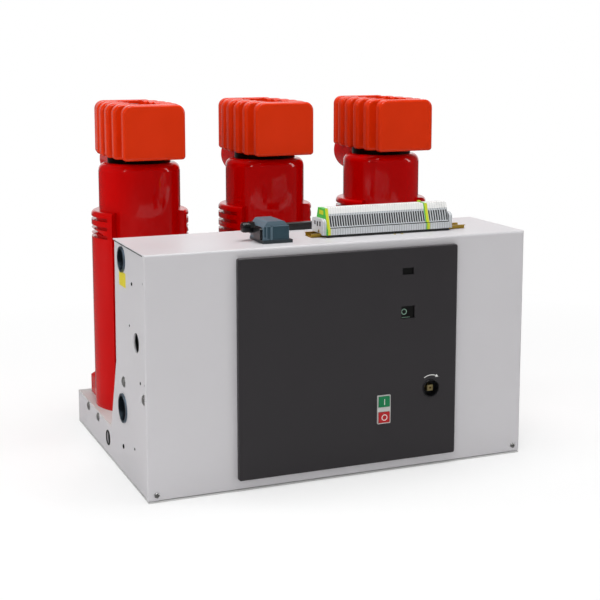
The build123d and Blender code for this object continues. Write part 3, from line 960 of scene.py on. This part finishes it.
class BREAKER_OT_panel(bpy.types.Operator):
    """Finish the front panel, its windows, buttons and manual trip, and add their marks"""

    bl_idname = "breaker.panel"
    bl_label = "Front panel"

    def execute(self, context):
        settings = context.scene.breaker_panel
        for node, name, colour, roughness, grain_size in (
            ("front_panel", "dark grey moulded panel", settings.plastic, 0.42, 1.2),
            ("button_frame", "pale frame plastic", settings.surround, 0.4, 2),
            ("button_bar", "grey bar plastic", settings.bar, 0.4, 2),
            ("on_button", "green push-button plastic", settings.on_button, 0.35, 2),
            ("off_button", "red push-button plastic", settings.off_button, 0.35, 2),
            ("trip_socket", "black moulded plastic", settings.black, 0.35, 1.5),
        ):
            finish_node(node, moulded_plastic(name, colour, roughness, grain_size))
        window = moulded_plastic("smoked window", settings.window, 0.3, 20)
        finish_node("counter_window", window)
        finish_node("indicator_window", window)
        finish_node("trip_shaft", plated_metal("machined brass", settings.brass, 0.25, 0.4, 4))

        ink = moulded_plastic("white screen-printed ink", settings.ink, 0.5, 2)
        mark = settings.mark_width
        ink_thickness = INK_THICKNESS * MM

        shape = bmesh.new()
        centre, face = middle_of("on_button"), box_of("on_button")[0].y
        half, half_width = BAR_HALF_HEIGHT * MM, BAR_HALF_WIDTH * mark
        add_bar_mark(
            shape,
            centre.x - half_width,
            centre.x + half_width,
            centre.z - half,
            centre.z + half,
            face,
        )
        print_marks(shape, ink_thickness)
        add_piece("on_button_mark", shape, ink, body="on_button", smooth=False)

        shape = bmesh.new()
        centre, face = middle_of("off_button"), box_of("off_button")[0].y
        add_ring_mark(shape, centre, RING_RADIUS * MM, mark, face, RING_STEPS)
        print_marks(shape, ink_thickness)
        add_piece("off_button_mark", shape, ink, body="off_button", smooth=False)

        shape = bmesh.new()
        centre, face = middle_of("trip_socket"), box_of("front_panel")[0].y
        radius, start, end = ARROW_RADIUS * MM, math.radians(ARROW_START), math.radians(ARROW_END)
        add_arc_mark(shape, centre, radius, mark, start, end, face, ARROW_STEPS)
        outward = Vector((math.cos(end), 0, math.sin(end)))
        onward = Vector((math.sin(end), 0, -math.cos(end)))
        tip = Vector((centre.x, face, centre.z)) + radius * outward
        head_half, head_length = ARROW_HEAD_HALF * MM, ARROW_HEAD_LENGTH * MM
        head_side = outward * head_half
        add_flat(shape, [tip - head_side, tip + head_side, tip + onward * head_length])
        print_marks(shape, ink_thickness)
        add_piece("turn_arrow", shape, ink, smooth=False)

        shape = bmesh.new()
        low, high = box_of("indicator_window")
        ring_centre = offset(middle_of("indicator_window"), *STATE_RING_OFFSET)
        add_ring_mark(
            shape,
            ring_centre,
            STATE_RING_RADIUS * MM,
            STATE_RING_WIDTH * MM,
            low.y,
            STATE_RING_STEPS,
        )
        line_foot = low.z + STATE_LINE_FOOT * MM
        add_bar_mark(
            shape,
            low.x + STATE_LINE_LEFT * MM,
            high.x - STATE_LINE_RIGHT * MM,
            line_foot,
            line_foot + STATE_LINE_HEIGHT * MM,
            low.y,
        )
        print_marks(shape, ink_thickness)
        flag = moulded_plastic("green state flag", settings.flag, 0.4, 3)
        add_piece("state_ring", shape, flag, smooth=False)
        return {"FINISHED"}


# Terminal row, in millimetres. Depths run back from its front, and drops run down from its top.

LEDGE_DEPTH, LEDGE_HEIGHT = 3, 12
SHOULDER_DEPTH, SHOULDER_DROP = 12, 10
CREST_DEPTH, LABEL_BACK = 15, 33
LABEL_ENDS = (0.06, 0.94)  # shares of a module
# How far each thin skin stands out, as y, z
SLOPE_LABEL, TOP_LABEL, EARTH_STRIPE = (-0.7, 0.2), (0, 0.7), (-0.5, 0.25)
# LEDGE_LINE and ENTRY_LINE are black strips of painted shade, under the slots and over the wire
# entries
LEDGE_LINE, ENTRY_LINE = (-0.8, 0), (2, -1)
LEDGE_LINE_INSET, LEDGE_LINE_RISE = 8, (0.5, 1.5)
ENTRY_INSET, ENTRY_SHIFT = 0.5, (1.2, -0.6)
EARTH_EDGE = 2.4
# Lowest and highest corner, from the front corners on top of an earth terminal or a module
EARTH_PATCH = ((-0.4, 17, -12), (0, 36, -4))
EARTH_LUG = ((1, 38, 0), (-1, 42, 3))
# A short black block on top of each module paints the shade in its notch
NOTCH = ((-1.3, 19, 0.6), (1.3, 21, 0.8))
# Front, back and foot of a black block that paints the shade in the gap under the row
GAP_FRONT, GAP_BACK, GAP_FOOT = 1, 4, 0.4
# Black blocks on the end stop's face paint the shade of its recesses
END_STOP_RECESS_SHADES = ((12, 16, 9), (24, 15, 9), (36, 17, 7))  # y, z, height
END_STOP_SHADE_LENGTH, END_STOP_SHADE_PROUD = 5, 0.4
END_STOP_SCREW, END_STOP_SCREW_RADIUS = (0, 20, 6), 3
DECK_SCREWS = ((128, 53), (143, 52))  # x, y
DECK_SCREW_RADIUS = 2.6
RAIL_SCREW_INSET, RAIL_SCREW_HEIGHT, RAIL_SCREW_RADIUS = 12, 1, 4.5


def modules_of(node, pitch):
    """Left edge of each module in a terminal row, and the width of one."""
    low, high = box_of(node)
    count = round((high.x - low.x) / pitch)
    width = (high.x - low.x) / count
    return [low.x + i * width for i in range(count)], width


class BREAKER_OT_terminals(bpy.types.Operator):
    """Finish the terminal row on its rail, and add its markers, black strips of painted shade and
    screws
    """

    bl_idname = "breaker.terminals"
    bl_label = "Terminal row"

    def execute(self, context):
        settings = context.scene.breaker_wiring
        panel_settings = context.scene.breaker_panel
        grey = stacked_modules("grey polyamide", settings.terminal, settings.module_pitch)
        green = moulded_plastic("earth green polyamide", settings.earth_green, 0.4, 1.5)
        yellow = moulded_plastic("earth yellow polyamide", settings.earth_yellow, 0.4, 1.5)
        white = moulded_plastic("white marker strip", settings.marker, 0.45, 2)
        black = black_plastic_and_painted_shade(panel_settings)
        finish_node(
            "din_rail", plated_metal("yellow passivated steel", settings.rail, 0.3, 0.45, 5)
        )
        for node in (*ROWS, "end_stop_left", "end_stop_right"):
            finish_node(node, grey)
        for node in ("earth_terminal_left", "earth_terminal_right"):
            finish_node(node, green)

        low, high = box_of("terminal_row")
        front, top = low.y, high.z
        foot = (front, low.z)
        ledge_edge = (front, low.z + LEDGE_HEIGHT * MM)
        ledge = (front + LEDGE_DEPTH * MM, low.z + LEDGE_HEIGHT * MM)
        shoulder = (front + SHOULDER_DEPTH * MM, top - SHOULDER_DROP * MM)
        crest = (front + CREST_DEPTH * MM, top)
        label_back = (front + LABEL_BACK * MM, top)
        row_left = box_of("earth_terminal_left")[0].x
        row_right = box_of("terminal_row_end")[1].x
        deck = box_of("front_cover")[1].z

        shape = bmesh.new()
        for node in ROWS:
            starts, width = modules_of(node, settings.module_pitch)
            for start in starts:
                ends = [start + share * width for share in LABEL_ENDS]
                add_prism(shape, skin([shoulder, crest], SLOPE_LABEL), *ends)
                add_prism(shape, skin([crest, label_back], TOP_LABEL), *ends)
        add_piece("marker_strip", shape, white, smooth=False)

        # Yellow stripes down the front of both earth terminals, a patch and a lug
        shape = bmesh.new()
        stripe = skin([foot, ledge_edge, ledge, shoulder, crest], EARTH_STRIPE)
        for node in ("earth_terminal_left", "earth_terminal_right"):
            low, high = box_of(node)
            add_prism(shape, stripe, low.x + EARTH_EDGE * MM, high.x)
        low, high = box_of("earth_terminal_left")
        patch_low, patch_high = (offset((low.x, low.y, high.z), *corner) for corner in EARTH_PATCH)
        add_block(shape, patch_low, patch_high, bevel=0.1 * MM)
        low, high = box_of("earth_terminal_right")
        lug_low = offset((low.x, low.y, high.z), *EARTH_LUG[0])
        lug_high = offset((high.x, low.y, high.z), *EARTH_LUG[1])
        add_block(shape, lug_low, lug_high, bevel=0.3 * MM)
        add_piece("earth_stripes", shape, yellow, smooth=False)

        # Black strips of painted shade: along the ledge, in the gap under the row, in the end
        # stop's recesses, over the wire entries, and in one short notch on top of each module
        shape = bmesh.new()
        ledge_top = tuple(value + rise * MM for value, rise in zip(ledge, LEDGE_LINE_RISE))
        line_left = row_left + LEDGE_LINE_INSET * MM
        add_prism(shape, skin([ledge, ledge_top], LEDGE_LINE), line_left, row_right)
        gap_low = (row_left, front + GAP_FRONT * MM, deck + GAP_FOOT * MM)
        add_block(shape, gap_low, (row_right, front + GAP_BACK * MM, foot[1]))
        low, high = box_of("end_stop_left")
        for y, z, height in END_STOP_RECESS_SHADES:
            recess_shade_high = offset(low, 0, y + END_STOP_SHADE_LENGTH, z + height)
            add_block(shape, offset(low, -END_STOP_SHADE_PROUD, y, z), recess_shade_high)
        back, up = ENTRY_SHIFT
        entries = skin([(y + back * MM, z + up * MM) for y, z in (ledge, shoulder)], ENTRY_LINE)
        for node in ROWS:
            low, high = box_of(node)
            add_prism(shape, entries, low.x + ENTRY_INSET * MM, high.x - ENTRY_INSET * MM)
            starts, width = modules_of(node, settings.module_pitch)
            for start in starts:
                middle = (start + width / 2, front, top)
                add_block(shape, *(offset(middle, *corner) for corner in NOTCH))
        add_piece("row_painted_shade", shape, black, smooth=False)

        shape = bmesh.new()
        upward = (0, 0, 1)
        for x, y in DECK_SCREWS:
            add_pan_screw(shape, (x * MM, y * MM, deck), upward, DECK_SCREW_RADIUS * MM)
        low, high = box_of("din_rail")
        for x in (low.x + RAIL_SCREW_INSET * MM, high.x - RAIL_SCREW_INSET * MM):
            place = (x, (low.y + high.y) / 2, low.z + RAIL_SCREW_HEIGHT * MM)
            add_pan_screw(shape, place, upward, RAIL_SCREW_RADIUS * MM)
        place = offset(box_of("end_stop_left")[0], *END_STOP_SCREW)
        add_pan_screw(shape, place, (-1, 0, 0), END_STOP_SCREW_RADIUS * MM)
        screws = plated_metal("brass-plated screws", panel_settings.brass, 0.3, 0.45, 2)
        add_piece("row_screws", shape, screws)
        return {"FINISHED"}


# Connector, in millimetres from the hood's lowest corner

# Darker plates on the hood's front: a wide lower panel, and two narrow plates between the ribs that
# paint the shade of recesses
HOOD_INSETS = ((20, 51, 1, 25), (8.5, 14.5, 3, 25), (3, 6, 6, 25))  # left, right, bottom, top
HOOD_RIBS = ((6, 8.5, 0, 26), (14.5, 19, 0, 27), (2, 51, 25, 27))
RELIEF_ROOT = 0.5  # how far the insets and ribs reach into the hood
# A black plate on the hood's left end paints the shade of that end face; its first corner is
# measured from the hood's lowest corner
GLAND_END_SHADE = ((-1.2, 5, 3), (0, -7, 24))  # the second from the hood's lower back corner
GLAND_RINGS, GLAND_RING_START, GLAND_RING_PITCH = 4, 4, 3.4
GLAND_RING_RADII = (9.9, 10.3)


class BREAKER_OT_connector(bpy.types.Operator):
    """Finish the connector and the cable sleeve, add the relief of the hood and gland, and add a
    black plate that paints the shade of the hood's left end
    """

    bl_idname = "breaker.connector"
    bl_label = "Connector"

    def execute(self, context):
        settings = context.scene.breaker_wiring
        hood = powder_coat("blue-grey die casting", settings.hood)
        inset = moulded_plastic("dark blue-grey inset and painted recess shade", settings.hood_inset, 0.4, 2)
        base = moulded_plastic("dark connector base", settings.base, 0.45, 2)
        black = black_plastic_and_painted_shade(context.scene.breaker_panel)
        finish_node("connector_hood", hood)
        finish_node("connector_base", base)
        for node in ("locking_lever", "cable_gland", "cable_sleeve"):
            finish_node(node, black)

        low, high = box_of("connector_hood")
        for name, areas, proud, bevel, finish in (
            ("hood_insets_and_recess_shade", HOOD_INSETS, 0.5, 0.2, inset),
            ("hood_ribs", HOOD_RIBS, 1.6, 0.5, hood),
        ):
            shape = bmesh.new()
            for left, right, bottom, top in areas:
                relief_low = offset(low, left, -proud, bottom)
                add_block(shape, relief_low, offset(low, right, RELIEF_ROOT, top), bevel * MM)
            add_piece(name, shape, finish, smooth=False)

        # A black plate that paints the shade of the hood's left end, and rings round the gland
        shape = bmesh.new()
        end_shade_low = offset(low, *GLAND_END_SHADE[0])
        end_shade_high = offset((low.x, high.y, low.z), *GLAND_END_SHADE[1])
        add_block(shape, end_shade_low, end_shade_high, bevel=0.5 * MM)
        gland_start, middle = box_of("cable_gland")[0].x, middle_of("cable_gland")
        for i in range(GLAND_RINGS):
            radius = GLAND_RING_RADII[i % 2]
            profile = [(radius - 1.4, 0), (radius, 0.4), (radius, 1.6), (radius - 1.4, 2)]
            along = (GLAND_RING_START + GLAND_RING_PITCH * i) * MM
            turn_profile(
                shape,
                [(out * MM, height * MM) for out, height in profile],
                (1, 0, 0),
                (gland_start + along, middle.y, middle.z),
                steps=28,
            )
        add_piece("gland_rings_and_end_shade", shape, black)
        return {"FINISHED"}


# Add-on

GROUPS = {
    "breaker_housing": BREAKER_PG_housing,
    "breaker_poles": BREAKER_PG_poles,
    "breaker_panel": BREAKER_PG_panel,
    "breaker_wiring": BREAKER_PG_wiring,
    "breaker_stage": BREAKER_PG_stage,
}
OPERATORS = (
    BREAKER_OT_camera,
    BREAKER_OT_housing,
    BREAKER_OT_side_fittings,
    BREAKER_OT_poles,
    BREAKER_OT_panel,
    BREAKER_OT_terminals,
    BREAKER_OT_connector,
    BREAKER_OT_stage,
)


class BREAKER_PT_sidebar(bpy.types.Panel):
    """Lists the breaker's operators"""

    bl_label = "Breaker"
    bl_idname = "BREAKER_PT_sidebar"
    bl_space_type = "VIEW_3D"
    bl_region_type = "UI"
    bl_category = "Breaker"

    def draw(self, context):
        for operator in OPERATORS:
            self.layout.operator(operator.bl_idname)


def register():
    for group in GROUPS.values():
        bpy.utils.register_class(group)
    for operator in OPERATORS:
        bpy.utils.register_class(operator)
    bpy.utils.register_class(BREAKER_PT_sidebar)
    for name, group in GROUPS.items():
        setattr(bpy.types.Scene, name, bpy.props.PointerProperty(type=group))


def unregister():
    for name in GROUPS:
        delattr(bpy.types.Scene, name)
    bpy.utils.unregister_class(BREAKER_PT_sidebar)
    for operator in reversed(OPERATORS):
        bpy.utils.unregister_class(operator)
    for group in reversed(GROUPS.values()):
        bpy.utils.unregister_class(group)


def main():
    register()
    bpy.ops.breaker.camera()
    bpy.ops.breaker.housing()
    bpy.ops.breaker.side_fittings()
    bpy.ops.breaker.poles()
    bpy.ops.breaker.panel()
    bpy.ops.breaker.terminals()
    bpy.ops.breaker.connector()
    bpy.ops.breaker.stage()


if __name__ == "__main__":
    main()
